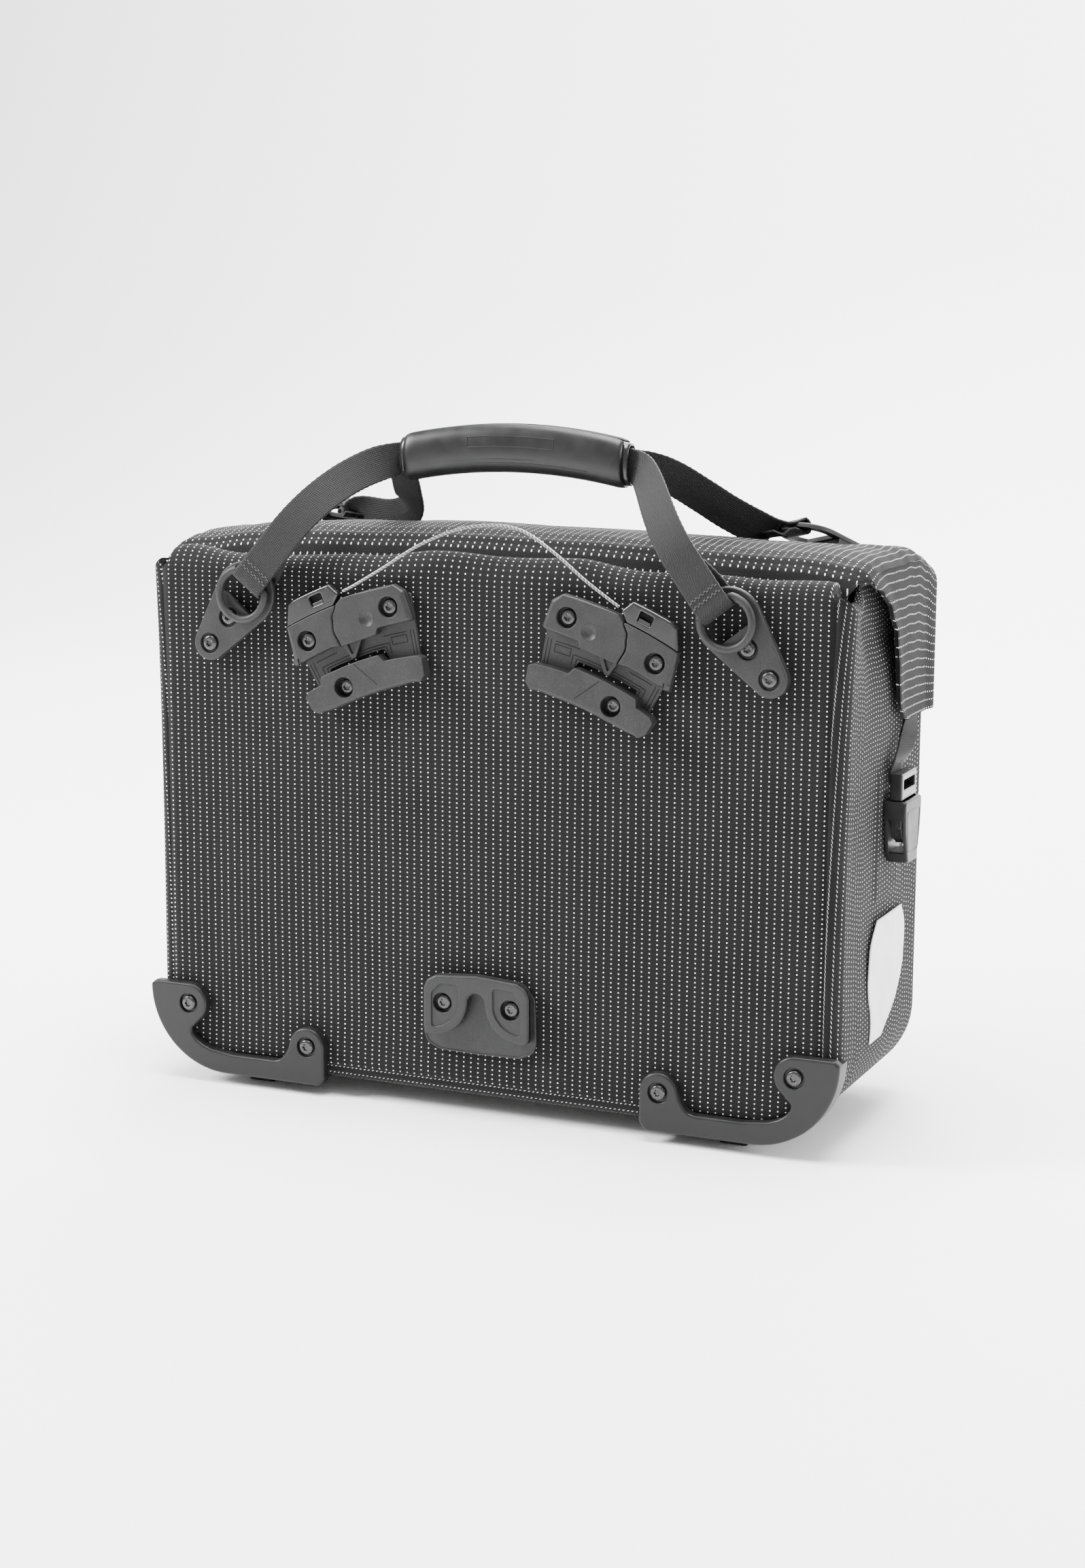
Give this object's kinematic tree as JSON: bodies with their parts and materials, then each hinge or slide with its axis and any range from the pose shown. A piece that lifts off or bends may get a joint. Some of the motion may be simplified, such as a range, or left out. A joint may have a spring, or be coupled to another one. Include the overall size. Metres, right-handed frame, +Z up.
{
  "type": "bicycle pannier",
  "caption": "Briefcase-shaped bicycle pannier with a rolled lid, rack hooks with sprung latches, corner guards and a carrying handle.",
  "frame": {"origin": "bottom centre of the bag's box, on the floor under its feet", "axes": "X along the bag, +Y from the back panel with the hooks to the front flap, +Z up"},
  "size_m": [0.4424, 0.177, 0.3852],
  "materials": {
    "woven_cloth": "matt woven, light dots",
    "webbing": "matt woven band",
    "matte_moulding": "fine grain",
    "gloss_moulding": "polished",
    "reflective_film": "retroreflective",
    "dark_screw": "blackened",
    "cable_sheath": "satin"
  },
  "bodies": {
    "bag": {"body_shell": "woven_cloth", "back_panel": "woven_cloth", "lid": "woven_cloth", "strap_back": "webbing", "strap_front": "webbing", "buckle_strap_left": "webbing", "buckle_strap_right": "webbing", "lower_hook_plate": "matte_moulding", "lower_hook_cap": "matte_moulding", "handle_grip": "matte_moulding", "corner_guard_left": "matte_moulding", "front_foot_left": "matte_moulding", "hook_base_left": "matte_moulding", "hook_cover_left": "matte_moulding", "hook_arm_left": "matte_moulding", "hook_rail_left": "matte_moulding", "back_plate_left": "matte_moulding", "front_plate_left": "matte_moulding", "d_ring_left": "matte_moulding", "buckle_socket_left": "matte_moulding", "corner_guard_right": "matte_moulding", "front_foot_right": "matte_moulding", "hook_base_right": "matte_moulding", "hook_cover_right": "matte_moulding", "hook_arm_right": "matte_moulding", "hook_rail_right": "matte_moulding", "back_plate_right": "matte_moulding", "front_plate_right": "matte_moulding", "d_ring_right": "matte_moulding", "buckle_socket_right": "matte_moulding", "handle_liner": "gloss_moulding", "release_slider_left": "gloss_moulding", "release_slider_right": "gloss_moulding", "buckle_plug_left": "gloss_moulding", "buckle_plug_right": "gloss_moulding", "reflector_left": "reflective_film", "reflector_right": "reflective_film", "guard_screw_inner_left": "dark_screw", "guard_screw_outer_left": "dark_screw", "lower_hook_screw_left": "dark_screw", "hook_screw_inner_left": "dark_screw", "hook_screw_outer_left": "dark_screw", "hook_screw_rail_left": "dark_screw", "back_plate_left_screw_tip": "dark_screw", "back_plate_left_screw_second": "dark_screw", "front_plate_left_screw_tip": "dark_screw", "front_plate_left_screw_second": "dark_screw", "guard_screw_inner_right": "dark_screw", "guard_screw_outer_right": "dark_screw", "lower_hook_screw_right": "dark_screw", "hook_screw_inner_right": "dark_screw", "hook_screw_outer_right": "dark_screw", "hook_screw_rail_right": "dark_screw", "back_plate_right_screw_tip": "dark_screw", "back_plate_right_screw_second": "dark_screw", "front_plate_right_screw_tip": "dark_screw", "front_plate_right_screw_second": "dark_screw", "release_cable": "cable_sheath"},
    "latch_left": {"latch_left": "matte_moulding"},
    "latch_right": {"latch_right": "matte_moulding"}
  },
  "joints": [
    {"name": "latch_left_slide", "type": "slide", "parent": "bag", "child": "latch_left", "axis": [-0.3584, 0, 0.9336], "range_m": [0, 0.006], "stiffness_N_per_m": 150},
    {"name": "latch_right_slide", "type": "slide", "parent": "bag", "child": "latch_right", "axis": [0.3584, 0, 0.9336], "range_m": [0, 0.006], "stiffness_N_per_m": 150}
  ]
}
